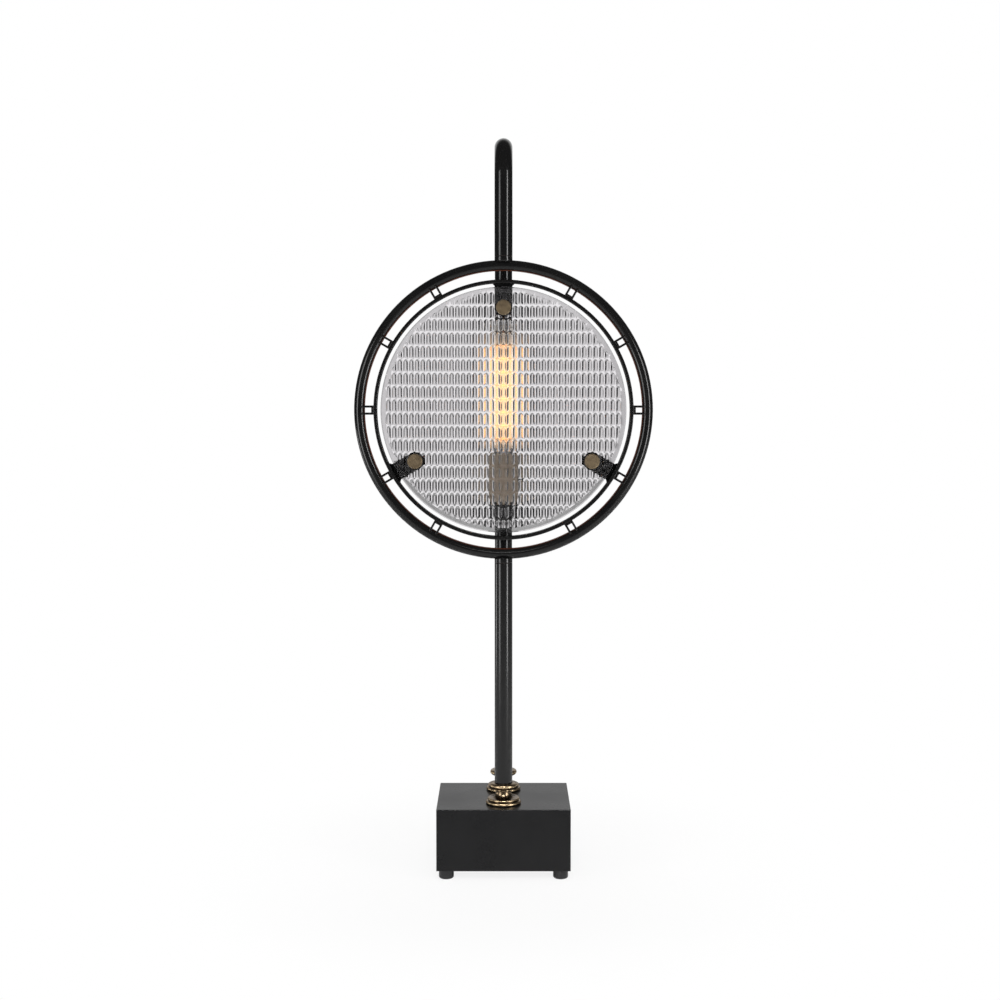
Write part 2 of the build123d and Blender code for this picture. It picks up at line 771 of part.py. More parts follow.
# Set screw: holds the clamp on the leg from behind
with BuildPart() as arm_set_screw:
    with BuildSketch(front_plane(0, rear_y + arm_clamp_diameter / 2 + set_screw_stub, lead_height)):
        Circle(set_screw_diameter / 2)
    extrude(amount=arm_clamp_diameter / 2 + set_screw_stub)
    with BuildSketch(Plane.XY.offset(arm_top_height)):
        with Locations((0, rear_y)):
            Circle(tube_radius + seat_gap)
    extrude(amount=-arm_height, mode=Mode.SUBTRACT)
arm_set_screw.part.label = "arm_set_screw"
export_step(arm_set_screw.part, "parts/arm_set_screw.step")

# Socket nipple and the lock nut that holds the cap on the boss
with BuildPart() as socket_nipple:
    with BuildSketch(Plane.XY.offset(arm_nipple_bottom)):
        Circle(nipple_radius)
        Circle(nipple_bore_diameter / 2, mode=Mode.SUBTRACT)
    extrude(amount=arm_top_height + socket_nipple_rise - arm_nipple_bottom)
socket_nipple.part.label = "socket_nipple"
export_step(socket_nipple.part, "parts/socket_nipple.step")

with BuildPart() as socket_lock_nut:
    with BuildSketch(Plane.XY.offset(arm_top_height + cap_floor)):
        RegularPolygon(nut_across_flats / 2, 6, major_radius=False)
        Circle(nipple_radius + seat_gap, mode=Mode.SUBTRACT)
    extrude(amount=lock_nut_height)
socket_lock_nut.part.label = "socket_lock_nut"
export_step(socket_lock_nut.part, "parts/socket_lock_nut.step")

# Socket cap: a round cup on the boss
with BuildPart() as socket_cap:
    with BuildSketch(front_plane(0, 0, arm_top_height)):
        dome_height = cap_dome_share * cap_height
        boss_radius = arm_boss_diameter / 2
        cup_radius = socket_radius - cap_wall
        with BuildLine():
            Polyline((nipple_radius + slip_clearance, 0), (boss_radius, 0))
            Bezier((boss_radius, 0), (socket_radius, 0), (socket_radius, dome_height))
            Polyline(
                (socket_radius, dome_height),
                (socket_radius, cap_height),
                (cup_radius, cap_height),
                (cup_radius, dome_height),
            )
            Bezier((cup_radius, dome_height), (cup_radius, cap_floor), (boss_radius, cap_floor))
            Polyline(
                (boss_radius, cap_floor),
                (nipple_radius + slip_clearance, cap_floor),
                (nipple_radius + slip_clearance, 0),
            )
        make_face()
    revolve(axis=Axis.Z)
socket_cap.part.label = "socket_cap"
export_step(socket_cap.part, "parts/socket_cap.step")

# Switch axis: out of the socket's side, slanting to the rear
switch_way = (cos(radians(switch_angle)), sin(radians(switch_angle)), 0)


def switch_plane(reach):
    """Plane across the switch axis, at a distance from the socket's middle."""
    place = (reach * switch_way[0], reach * switch_way[1], switch_height)
    return Plane(origin=place, x_dir=(0, 0, 1), z_dir=switch_way)


# Socket shell: a thin round can on the cap, with a hole for the switch shaft
with BuildPart() as socket_shell:
    with BuildSketch(Plane.XY.offset(cap_top)):
        Circle(socket_radius)
        Circle(socket_inner_radius, mode=Mode.SUBTRACT)
    extrude(amount=socket_height)
    with BuildSketch(switch_plane(0)):
        Circle(switch_shaft_diameter / 2 + slip_clearance)
    extrude(amount=socket_diameter, mode=Mode.SUBTRACT)
socket_shell.part.label = "socket_shell"
export_step(socket_shell.part, "parts/socket_shell.step")

# Socket core: moulded body on the cap's ledge, bored for the switch shaft
with BuildPart() as socket_core:
    with BuildSketch(Plane.XY.offset(cap_top)):
        Circle(core_radius)
    extrude(amount=core_height)
    with BuildSketch(switch_plane(core_radius - switch_shaft_depth - switch_shaft_end_gap)):
        Circle(switch_shaft_diameter / 2 + running_clearance)
    extrude(amount=socket_diameter, mode=Mode.SUBTRACT)
socket_core.part.label = "socket_core"
export_step(socket_core.part, "parts/socket_core.step")

# Insulating sleeve, screw shell and centre contact, all on the core
with BuildPart() as socket_sleeve:
    with BuildSketch(Plane.XY.offset(core_top)):
        Circle(socket_inner_radius - sleeve_gap)
        Circle(socket_inner_radius - sleeve_gap - sleeve_wall, mode=Mode.SUBTRACT)
    extrude(amount=sleeve_height)
socket_sleeve.part.label = "socket_sleeve"
export_step(socket_sleeve.part, "parts/socket_sleeve.step")

with BuildPart() as screw_shell:
    with BuildSketch(Plane.XY.offset(core_top)):
        Circle(screw_shell_inner_radius + screw_shell_wall)
        Circle(screw_shell_inner_radius, mode=Mode.SUBTRACT)
    extrude(amount=screw_shell_height)
screw_shell.part.label = "screw_shell"
export_step(screw_shell.part, "parts/screw_shell.step")

with BuildPart() as centre_contact:
    with BuildSketch(Plane.XY.offset(core_top)):
        Circle(contact_diameter / 2)
    extrude(amount=contact_height)
centre_contact.part.label = "centre_contact"
export_step(centre_contact.part, "parts/centre_contact.step")

# Switch shaft and the flat key on its end
switch_hub_start = socket_radius + switch_knob_gap
with BuildPart() as switch_shaft:
    with BuildSketch(switch_plane(core_radius - switch_shaft_depth)):
        Circle(switch_shaft_diameter / 2)
    extrude(amount=switch_hub_start - core_radius + switch_shaft_depth + switch_hub_length)
switch_shaft.part.label = "switch_shaft"
export_step(switch_shaft.part, "parts/switch_shaft.step")

with BuildPart() as switch_knob:
    with BuildSketch(switch_plane(switch_hub_start)):
        Circle(switch_hub_diameter / 2)
    extrude(amount=switch_hub_length)
    with BuildSketch(switch_plane(switch_hub_start + switch_hub_length)):
        RectangleRounded(switch_hub_diameter, switch_key_thickness, switch_edge_radius)
    extrude(amount=switch_key_length)
    with BuildSketch(switch_plane(switch_hub_start)):
        Circle(switch_shaft_diameter / 2 + seat_gap)
    extrude(amount=switch_hub_length, mode=Mode.SUBTRACT)
switch_knob.part.label = "switch_knob"
export_step(switch_knob.part, "parts/switch_knob.step")

# Bulb contact and insulator, under the cap
with BuildPart() as bulb_insulator:
    with BuildSketch(Plane.XY.offset(contact_top)):
        Circle(bulb_contact_radius)
    extrude(amount=bulb_contact_height)
    with BuildSketch(Plane.XY.offset(insulator_bottom)):
        Circle(bulb_contact_radius)
    with BuildSketch(Plane.XY.offset(cap_shell_bottom)):
        Circle(bulb_insulator_radius)
    loft()
bulb_insulator.part.label = "bulb_insulator"
export_step(bulb_insulator.part, "parts/bulb_insulator.step")

# Bulb cap: a thin shell with rolled thread rounds and a plain skirt
with BuildPart() as bulb_cap:
    with BuildSketch(Plane.XZ):
        with BuildLine():
            cap_bore_radius = thread_root_radius - cap_shell_wall
            Polyline(
                (thread_root_radius, cap_shell_bottom),
                (cap_bore_radius, cap_shell_bottom),
                (cap_bore_radius, cap_shell_top),
                (thread_root_radius, cap_shell_top),
                (thread_root_radius, thread_top),
            )
            for turn in range(thread_turns):
                turn_bottom = cap_shell_bottom + turn * thread_pitch
                ThreePointArc(
                    (thread_root_radius, turn_bottom),
                    (thread_crest_radius, turn_bottom + thread_pitch / 2),
                    (thread_root_radius, turn_bottom + thread_pitch),
                )
        make_face()
    revolve(axis=Axis.Z)
bulb_cap.part.label = "bulb_cap"
export_step(bulb_cap.part, "parts/bulb_cap.step")

# Bulb glass: a thin tube, closed by a dome, on a narrower neck in the cap
with BuildPart() as bulb_glass:
    with BuildSketch(Plane.XZ):
        body_radius = bulb_diameter / 2
        body_bottom = cap_shell_top + bulb_shoulder_height
        body_top = bulb_top - bulb_tip_height
        for wall, cut in ((0, Mode.ADD), (bulb_glass_wall, Mode.SUBTRACT)):
            with BuildLine():
                Polyline(
                    (0, bulb_top - wall),
                    (0, neck_bottom),
                    (bulb_neck_radius - wall, neck_bottom),
                    (bulb_neck_radius - wall, cap_shell_top),
                )
                Bezier(
                    (bulb_neck_radius - wall, cap_shell_top),
                    (bulb_neck_radius - wall, (cap_shell_top + body_bottom) / 2),
                    (body_radius - wall, (cap_shell_top + body_bottom) / 2),
                    (body_radius - wall, body_bottom),
                )
                Line((body_radius - wall, body_bottom), (body_radius - wall, body_top))
                Bezier(
                    (body_radius - wall, body_top),
                    (body_radius - wall, bulb_top - wall),
                    (0, bulb_top - wall),
                )
            make_face(mode=cut)
    revolve(axis=Axis.Z)
bulb_glass.part.label = "bulb_glass"
export_step(bulb_glass.part, "parts/bulb_glass.step")

# Bulb stem: glass foot in the neck, and the two discs and rod that hold the filaments
with BuildPart() as bulb_stem:
    with BuildSketch(Plane.XY.offset(neck_bottom)):
        Circle(stem_foot_radius)
    extrude(amount=stem_foot_height)
    with BuildSketch(Plane.XY.offset(neck_bottom + stem_foot_height)):
        Circle(stem_radius)
    extrude(amount=stem_height)
    with BuildSketch(Plane.XY.offset(stem_top)):
        Circle(support_radius)
    extrude(amount=support_thickness)
    with BuildSketch(Plane.XY.offset(filament_bottom)):
        Circle(support_rod_radius)
    extrude(amount=filament_length)
    with BuildSketch(Plane.XY.offset(filament_top)):
        Circle(support_radius)
    extrude(amount=support_thickness)
bulb_stem.part.label = "bulb_stem"
export_step(bulb_stem.part, "parts/bulb_stem.step")

# Filaments: upright rods between the two discs
with BuildPart() as bulb_filaments:
    with BuildSketch(Plane.XY.offset(filament_bottom)):
        with PolarLocations(filament_circle_radius, filament_count):
            Circle(filament_radius)
    extrude(amount=filament_length)
bulb_filaments.part.label = "bulb_filaments"
export_step(bulb_filaments.part, "parts/bulb_filaments.step")

# Lead wires: from the terminal block up the rear leg and through the arm to the socket core
with BuildPart() as lead_wires:
    lead_start_y = terminal_depth / 2
    lead_start_z = ballast_top + terminal_height / 2
    for side in (-1, 1):
        lead_x = side * lead_spacing / 2
        with BuildLine() as lead_path:
            FilletPolyline(
                (lead_x, lead_start_y, lead_start_z),
                (lead_x, rear_y, lead_start_z),
                (lead_x, rear_y, lead_height),
                (lead_x, 0, lead_height),
                (lead_x, 0, cap_top),
                radius=lead_bend_radius,
            )
        with BuildSketch(Plane(origin=(lead_x, lead_start_y, lead_start_z), z_dir=(0, 1, 0))):
            Circle(lead_diameter / 2)
        sweep(path=lead_path.line)
lead_wires.part.label = "lead_wires"
export_step(lead_wires.part, "parts/lead_wires.step")
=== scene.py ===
import json
from math import copysign, cos, hypot, radians, sin, sqrt

import bpy
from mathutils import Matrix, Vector


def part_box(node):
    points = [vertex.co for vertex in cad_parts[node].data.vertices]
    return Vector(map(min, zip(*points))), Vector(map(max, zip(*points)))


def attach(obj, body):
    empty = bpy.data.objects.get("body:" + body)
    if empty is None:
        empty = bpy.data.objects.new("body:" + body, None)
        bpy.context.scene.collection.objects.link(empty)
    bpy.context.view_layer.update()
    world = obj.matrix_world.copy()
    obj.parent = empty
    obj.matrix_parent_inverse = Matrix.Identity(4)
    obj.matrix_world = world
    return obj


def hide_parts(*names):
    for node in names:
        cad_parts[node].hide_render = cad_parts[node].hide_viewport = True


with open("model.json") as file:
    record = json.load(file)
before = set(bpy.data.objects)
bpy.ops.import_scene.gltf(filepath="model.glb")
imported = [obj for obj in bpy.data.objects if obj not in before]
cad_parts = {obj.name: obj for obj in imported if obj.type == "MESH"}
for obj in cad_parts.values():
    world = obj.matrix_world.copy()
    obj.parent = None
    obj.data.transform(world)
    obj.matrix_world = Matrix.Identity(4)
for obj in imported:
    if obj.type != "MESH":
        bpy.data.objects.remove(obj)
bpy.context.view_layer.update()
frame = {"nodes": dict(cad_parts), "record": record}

y_axis, z_axis = 1, 2
bolt_sides = ("top", "left", "right")
smooth_angle = radians(30)

# Lens, from its CAD disc. Each rim step is an inset from the edge and a drop from the face.
# The first is steeper than the smoothing angle, so that the faces stay flat.
lens_low, lens_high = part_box("lens")
lens_radius = (lens_high.x - lens_low.x) / 2
lens_center_z = (lens_low.z + lens_high.z) / 2
lens_front = lens_low.y
lens_back = lens_high.y
rim_width = 0.0052
rim_steps = ((0.0011, 0.0), (0.0005, 0.0004), (0.0, 0.0014))
field_radius = lens_radius - rim_width
field_fade = 0.0010
bolt_hole_radius = 0.0047
bolt_hole_sides = 48
drill_reach = 3
bolt_pad_radius = 0.0065
bolt_places = [sum(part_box(f"lens_knob_{side}"), Vector()) / 2 for side in bolt_sides]

# Flutes in the lens's back: ridges with round crowns, in rows of arches between low bars.
# Each end step is a distance from the bar and a share of the flute's height.
cell_width = 0.0071
cell_height = 0.0165
separator_width = 0.0012
row_bar_width = 0.0010
row_bar_share = 0.32
row_arch = 0.0013
row_phase = -0.0040
row_step = 0.0026
flute_half_width = (cell_width - separator_width) / 2
flute_slope = 0.92
flute_crown_share = 0.3
flute_crown_round = flute_crown_share * flute_half_width
flute_depth = flute_slope * (hypot(flute_half_width, flute_crown_round) - flute_crown_round)
flute_column_shares = (-1, -0.65, -0.4, -0.2, -0.08, 0, 0.08, 0.2, 0.4, 0.65, 1)
flute_end_steps = ((0.0, 0.0), (0.0008, 0.3), (0.0016, 0.7), (0.0024, 1.0))
row_bar_height = row_bar_share * flute_depth
column_edge_gap = separator_width / 4
lens_merge_distance = separator_width / 100

# Turned collars, as radius and height: each bead's root, reach, bottom and top, the groove's two
# points, and each curve's start, pull and end
collar_foot_bead = (0.0205, 0.0220, 0.0, 0.0042)
collar_groove = ((0.0184, 0.0042), (0.0184, 0.0050))
collar_second_bead = (0.0184, 0.0198, 0.0050, 0.0078)
collar_cove = ((0.0176, 0.0078), (0.0094, 0.0078), (0.0094, 0.0164))
collar_neck_bead = (0.0108, 0.0116, 0.0164, 0.0186)
collar_cup = ((0.0106, 0.0186), (0.0158, 0.0191), (0.0170, 0.0225))
collar_crown = ((0.0170, 0.0225), (0.0170, 0.0262), (0.0122, 0.0262))
collar_bore_gap = 0.0002
collar_merge_distance = collar_bore_gap / 20
collar_sides = 96
profile_steps = 8

# Painted highlights on the collars: bright lines along the bead crests that stand in for
# reflections of the studio lights, as a share of the height and the strength there
collar_highlight_color = (0.70, 0.53, 0.32, 1)
collar_crest_roughness = 0.14
collar_highlight_levels = (
    (0, 0.1), (0.05, 0.3), (0.10, 1), (0.14, 0.3), (0.18, 0), (0.22, 0.3), (0.26, 1), (0.30, 0.1),
    (0.36, 0), (0.5, 0.3), (0.62, 0), (0.68, 0.4), (0.72, 0), (0.80, 0.2), (0.86, 1), (0.92, 0.5),
    (1, 0.2),
)

# Painted reflection of the bulb's warm light along the inner side of the outer ring
ring_reflection_color = (0.16, 0.05, 0.026, 1)
ring_reflection_width = 0.0015

# Lit bulb
filament_strength = 1.6
glow_color = (1.0, 0.65, 0.37, 1)
glow_strength = 0.26
glow_fade = 0.018

# Shared effects
cloud_detail = 5
cloud_band = (0.3, 0.7)
speckle_detail = 2
speckle_share = 0.35
rough_band = (0.4, 0.95)
edge_rub_samples = 6
edge_rub_band = (0.99, 0.85)
edge_rub_patches = 120
soft_facet_samples = 8

# Finishes: two colours, roughness from smooth to rough, clouds and speckle by the metre
bright_bronze = (0.62, 0.49, 0.31)
gloss_black = dict(
    dark=(0.006, 0.006, 0.0065), light=(0.010, 0.0098, 0.0095), smooth=0.13, rough=0.20,
    clouds=25, speckle=90, specular=0.38, relief=None, soft_radius=0.0015,
)
solid_looks = {
    "satin_black_paint": dict(
        dark=(0.005, 0.005, 0.0055), light=(0.008, 0.008, 0.0085), smooth=0.24, rough=0.34,
        clouds=14, speckle=1600, specular=0.25, rub=(0.07, 0.068, 0.066), relief=0.000006,
    ),
    "gloss_black_paint": dict(gloss_black, rub=(0.05, 0.022, 0.012), rub_amount=0.6),
    "ring_paint": gloss_black,
    "dark_bronze": dict(
        dark=(0.07, 0.047, 0.032), light=(0.12, 0.085, 0.056), smooth=0.2, rough=0.28,
        clouds=60, speckle=1800, metallic=1.0, rub=bright_bronze, rub_amount=0.8,
        rub_width=0.0005, relief=0.000004,
    ),
    "socket_bronze": dict(
        dark=(0.34, 0.27, 0.20), light=(0.46, 0.37, 0.28), smooth=0.3, rough=0.42,
        clouds=90, speckle=1600, metallic=0.3, rub=bright_bronze, rub_amount=0.8,
    ),
    "knob_bronze": dict(
        dark=(0.16, 0.116, 0.068), light=(0.26, 0.195, 0.118), smooth=0.35, rough=0.5,
        clouds=160, speckle=1800, metallic=0.55, rub=(0.55, 0.44, 0.29), rub_amount=1.6,
        rub_width=0.0006,
    ),
    "cast_iron": dict(
        dark=(0.05, 0.048, 0.046), light=(0.11, 0.105, 0.10), smooth=0.6, rough=0.85,
        clouds=60, speckle=500, metallic=0.6, relief=0.0003,
    ),
    "zinc_steel": dict(
        dark=(0.48, 0.48, 0.50), light=(0.66, 0.66, 0.67), smooth=0.22, rough=0.4,
        clouds=140, speckle=1800, metallic=1.0,
    ),
    "black_rubber": dict(
        dark=(0.014, 0.014, 0.014), light=(0.026, 0.026, 0.026), smooth=0.6, rough=0.85,
        clouds=80, speckle=2500, relief=0.00005,
    ),
    "gloss_black_plastic": dict(
        dark=(0.010, 0.010, 0.011), light=(0.016, 0.016, 0.017), smooth=0.12, rough=0.25,
        clouds=60, speckle=1200, rub=(0.05, 0.05, 0.05),
    ),
    "brass": dict(
        dark=(0.52, 0.36, 0.14), light=(0.78, 0.58, 0.27), smooth=0.2, rough=0.38,
        clouds=120, speckle=1600, metallic=1.0,
    ),
    "moulded_core": dict(
        dark=(0.035, 0.022, 0.015), light=(0.07, 0.045, 0.03), smooth=0.45, rough=0.65,
        clouds=90, speckle=1500,
    ),
    "fibre": dict(
        dark=(0.25, 0.20, 0.14), light=(0.40, 0.34, 0.25), smooth=0.7, rough=0.9,
        clouds=150, speckle=1200, relief=0.00006,
    ),
    "wire_insulation": dict(
        dark=(0.02, 0.02, 0.02), light=(0.04, 0.04, 0.04), smooth=0.35, rough=0.5,
        clouds=70, speckle=1500,
    ),
}
glass_looks = {
    "lens_glass": dict(
        dark=(0.965, 0.955, 0.965), light=(0.985, 0.98, 0.985), index=1.5, ripple=0.00001,
    ),
    "bulb_glass": dict(
        dark=(0.99, 0.97, 0.93), light=(1.0, 0.99, 0.96), index=1.46, ripple=0.000005,
    ),
}
glass_grain = dict(smooth=0.0, rough=1.0, clouds=12, speckle=140)
filament_grain = dict(
    dark=(1.0, 0.30, 0.07), light=(1.0, 0.39, 0.11), smooth=0.4, rough=0.6, clouds=90, speckle=900,
)
own_finish = {"outer_ring": "ring_paint", "socket_cap": "socket_bronze",
              "socket_shell": "socket_bronze"}
own_finish.update((f"lens_knob_{side}", "knob_bronze") for side in bolt_sides)

# Camera, at the photograph's distance and height
camera_place = (0, -1.965, 0.6004)
camera_lens = 56.38
camera_tilt = radians(2.52)
camera_shift = (-0.0035, -0.04)

# Studio lights
softbox_angle = radians(50)
softbox_distance = 1.6
softbox_height = 0.45
left_softbox_size = (0.5, 1.34)
left_softbox_watts = 12
right_softbox_size = (0.3, 1.34)
right_softbox_watts = 16
rim_light_angle = radians(104)
rim_light_height = 0.05
rim_light_size = (0.28, 0.6)
rim_light_watts = 3
top_light_height = 2.0
top_light_size = (1.2, 1.2)
top_light_watts = 9
base_light_place = (0, -0.8, 0.75)
base_light_target = (0, -0.03, 0.1)
base_light_size = (1.8, 0.15)
base_light_spread = radians(30)
base_light_watts = 1.0

# Floor, plain white to the camera from where its fade ends
floor_size = 8.0
floor_color = (0.86, 0.86, 0.86, 1)
floor_roughness = 0.9
floor_fade_reach = (0.08, 0.45)
floor_fade_start = 0.85

# Surroundings. Bands are parts of a ray's direction: across, away from the camera and up.
white = (1, 1, 1, 1)
black = (0, 0, 0, 1)
ambient_color = (0.3, 0.3, 0.3, 1)
room_color = (0.05, 0.05, 0.05, 1)
far_wall_color = (0.9, 0.9, 0.9, 1)
far_wall_away_band = (0.6, 0.85)
far_wall_up_band = (0.12, 0.22)
backdrop_tint = (1, 0.985, 1)
backdrop_levels = (
    (-1, 0.1), (-0.56, 0.1), (-0.46, 0.3), (-0.36, 0.63), (-0.1, 0.56), (-0.085, 0.9),
    (0.085, 0.9), (0.1, 0.54), (0.3, 0.5), (0.44, 0.28), (0.54, 0.07), (1, 0.07),
)
backdrop_low_band = (-0.02, -0.09)
backdrop_low_stretch = 1.3
backdrop_edge_color = (0.62, 0.61, 0.62, 1)
backdrop_edge_band = (0.12, 0.22)
backdrop_dark_color = (0.2, 0.2, 0.2, 1)
backdrop_dark_band = (0.35, 0.65)


def add(tree, kind, **settings):
    """A new node with its settings."""
    node = tree.nodes.new(kind)
    for name, value in settings.items():
        setattr(node, name, value)
    return node


def feed(tree, source, socket):
    """A socket linked to its source, or set to it where the source is a plain value."""
    if isinstance(source, bpy.types.NodeSocket):
        tree.links.new(source, socket)
    else:
        socket.default_value = source


def math_step(tree, operation, *sources, **settings):
    """A value worked out from one or more others."""
    node = add(tree, "ShaderNodeMath", operation=operation, **settings)
    for source, socket in zip(sources, node.inputs):
        feed(tree, source, socket)
    return node.outputs[0]


def vector_step(tree, operation, result, *sources):
    """A vector or a value, as the result says, worked out from vectors."""
    node = add(tree, "ShaderNodeVectorMath", operation=operation)
    for source, socket in zip(sources, node.inputs):
        feed(tree, source, socket)
    return node.outputs[result]


def mix_color(tree, factor, first, second):
    """Two colours mixed by a mask. The node's sockets share names, so they go by number."""
    mix = add(tree, "ShaderNodeMix", data_type="RGBA")
    for source, number in ((factor, 0), (first, 6), (second, 7)):
        feed(tree, source, mix.inputs[number])
    return mix.outputs[2]


def gate(tree, value, low, high, start=0.0, end=1.0, **settings):
    """A value that goes from start to end while another goes from low to high."""
    rise = add(tree, "ShaderNodeMapRange", **settings)
    labels = ("Value", "From Min", "From Max", "To Min", "To Max")
    for source, label in zip((value, low, high, start, end), labels):
        feed(tree, source, rise.inputs[label])
    return rise.outputs[0]


def ramp_in(tree, share, levels, tint=(1, 1, 1)):
    """A colour that steps through levels of one tint over a share from 0 to 1."""
    ramp = add(tree, "ShaderNodeValToRGB")
    stops = ramp.color_ramp.elements
    while len(stops) < len(levels):
        stops.new(0.5)
    for stop, (position, level) in zip(stops, levels):
        stop.position = position
        stop.color = (*(level * part for part in tint), 1)
    tree.links.new(share, ramp.inputs["Fac"])
    return ramp.outputs["Color"]


def coordinates(tree, kind):
    """X, Y and Z of the texture coordinates of one kind."""
    split = add(tree, "ShaderNodeSeparateXYZ")
    tree.links.new(add(tree, "ShaderNodeTexCoord").outputs[kind], split.inputs[0])
    return split.outputs


def new_group(name, inputs, outputs):
    """An empty shader group with its sockets, and its input and output nodes."""
    group = bpy.data.node_groups.new(name, "ShaderNodeTree")
    for label, kind, value in inputs:
        socket = group.interface.new_socket(label, in_out="INPUT", socket_type=kind)
        socket.default_value = value
    for label, kind in outputs:
        group.interface.new_socket(label, in_out="OUTPUT", socket_type=kind)
    return group, group.nodes.new("NodeGroupInput"), group.nodes.new("NodeGroupOutput")


def noise_in(tree, scale):
    """Noise over a piece's own coordinates."""
    noise = add(tree, "ShaderNodeTexNoise")
    place = add(tree, "ShaderNodeTexCoord").outputs["Object"]
    tree.links.new(place, noise.inputs["Vector"])
    tree.links.new(scale, noise.inputs["Scale"])
    return noise


def surface_grain_group():
    """Slow clouds and a fine speckle, as a colour, a roughness and a height."""
    group, given, result = new_group(
        "surface_grain",
        (
            ("Dark", "NodeSocketColor", black),
            ("Light", "NodeSocketColor", white),
            ("Smooth", "NodeSocketFloat", 0.2),
            ("Rough", "NodeSocketFloat", 0.4),
            ("Clouds", "NodeSocketFloat", 30),
            ("Speckle", "NodeSocketFloat", 900),
        ),
        (
            ("Color", "NodeSocketColor"),
            ("Roughness", "NodeSocketFloat"),
            ("Height", "NodeSocketFloat"),
        ),
    )
    clouds = noise_in(group, given.outputs["Clouds"])
    clouds.inputs["Detail"].default_value = cloud_detail
    speckle = noise_in(group, given.outputs["Speckle"])
    speckle.inputs["Detail"].default_value = speckle_detail
    cloud, fleck = clouds.outputs["Fac"], speckle.outputs["Fac"]
    tone = gate(group, cloud, *cloud_band)
    both = math_step(group, "MULTIPLY_ADD", fleck, speckle_share, cloud)
    smooth, rough = given.outputs["Smooth"], given.outputs["Rough"]
    color = mix_color(group, tone, given.outputs["Dark"], given.outputs["Light"])
    roughness = gate(group, both, *rough_band, start=smooth, end=rough)
    for source, label in ((color, "Color"), (roughness, "Roughness"), (fleck, "Height")):
        group.links.new(source, result.inputs[label])
    return group


def edge_rub_group():
    """A mask that is strongest where a sharp edge has been handled."""
    group, given, result = new_group(
        "edge_rub",
        (
            ("Width", "NodeSocketFloat", 0.0008),
            ("Amount", "NodeSocketFloat", 1),
            ("Patches", "NodeSocketFloat", edge_rub_patches),
        ),
        (("Mask", "NodeSocketFloat"),),
    )
    rounded = add(group, "ShaderNodeBevel", samples=edge_rub_samples)
    group.links.new(given.outputs["Width"], rounded.inputs["Radius"])
    plain = add(group, "ShaderNodeNewGeometry").outputs["Normal"]
    match = vector_step(group, "DOT_PRODUCT", "Value", rounded.outputs["Normal"], plain)
    patches = noise_in(group, given.outputs["Patches"]).outputs["Fac"]
    worn = math_step(group, "MULTIPLY", gate(group, match, *edge_rub_band), patches)
    mask = math_step(group, "MULTIPLY", worn, given.outputs["Amount"], use_clamp=True)
    group.links.new(mask, result.inputs["Mask"])
    return group


def soft_facets_group():
    """A normal that runs smoothly over small facets."""
    group, given, result = new_group(
        "soft_facets",
        (("Radius", "NodeSocketFloat", 0.001),),
        (("Normal", "NodeSocketVector"),),
    )
    rounded = add(group, "ShaderNodeBevel", samples=soft_facet_samples)
    group.links.new(given.outputs["Radius"], rounded.inputs["Radius"])
    group.links.new(rounded.outputs["Normal"], result.inputs["Normal"])
    return group


surface_grain = surface_grain_group()
edge_rub = edge_rub_group()
soft_facets = soft_facets_group()


def new_finish(name):
    """A material with its node tree and its shader."""
    material = bpy.data.materials.new(name)
    material.use_nodes = True
    return material, material.node_tree, material.node_tree.nodes["Principled BSDF"]


def grain_in(tree, dark, light, smooth, rough, clouds, speckle):
    """The surface grain, placed in a material with its values."""
    grain = add(tree, "ShaderNodeGroup", node_tree=surface_grain)
    grain.inputs["Dark"].default_value = (*dark, 1)
    grain.inputs["Light"].default_value = (*light, 1)
    grain.inputs["Smooth"].default_value = smooth
    grain.inputs["Rough"].default_value = rough
    grain.inputs["Clouds"].default_value = clouds
    grain.inputs["Speckle"].default_value = speckle
    return grain


def bump_in(tree, shader, height, distance):
    """A bump from a height to the shader's normal."""
    bump = add(tree, "ShaderNodeBump")
    bump.inputs["Strength"].default_value = 1.0
    bump.inputs["Distance"].default_value = distance
    tree.links.new(height, bump.inputs["Height"])
    tree.links.new(bump.outputs["Normal"], shader.inputs["Normal"])


def solid_finish(name, dark, light, smooth, rough, clouds, speckle, metallic=0.0, specular=0.5,
                 rub=None, rub_amount=1.0, rub_width=0.0008, relief=0.00002, soft_radius=None):
    """An opaque finish: grain for colour, roughness and relief, and a rub along its edges."""
    material, tree, shader = new_finish(name)
    grain = grain_in(tree, dark, light, smooth, rough, clouds, speckle)
    color = grain.outputs["Color"]
    if rub:
        mask = add(tree, "ShaderNodeGroup", node_tree=edge_rub)
        mask.inputs["Amount"].default_value = rub_amount
        mask.inputs["Width"].default_value = rub_width
        color = mix_color(tree, mask.outputs["Mask"], color, (*rub, 1))
    tree.links.new(color, shader.inputs["Base Color"])
    tree.links.new(grain.outputs["Roughness"], shader.inputs["Roughness"])
    shader.inputs["Metallic"].default_value = metallic
    shader.inputs["Specular IOR Level"].default_value = specular
    if relief:
        bump_in(tree, shader, grain.outputs["Height"], relief)
    if soft_radius:
        soft = add(tree, "ShaderNodeGroup", node_tree=soft_facets)
        soft.inputs["Radius"].default_value = soft_radius
        tree.links.new(soft.outputs["Normal"], shader.inputs["Normal"])
    return material


def glass_finish(name, dark, light, index, ripple):
    """Clear glass with a faint change of tint and a faint ripple."""
    material, tree, shader = new_finish(name)
    grain = grain_in(tree, dark, light, **glass_grain)
    tree.links.new(grain.outputs["Color"], shader.inputs["Base Color"])
    shader.inputs["Roughness"].default_value = 0.0
    shader.inputs["IOR"].default_value = index
    shader.inputs["Transmission Weight"].default_value = 1.0
    bump_in(tree, shader, grain.outputs["Height"], ripple)
    return material


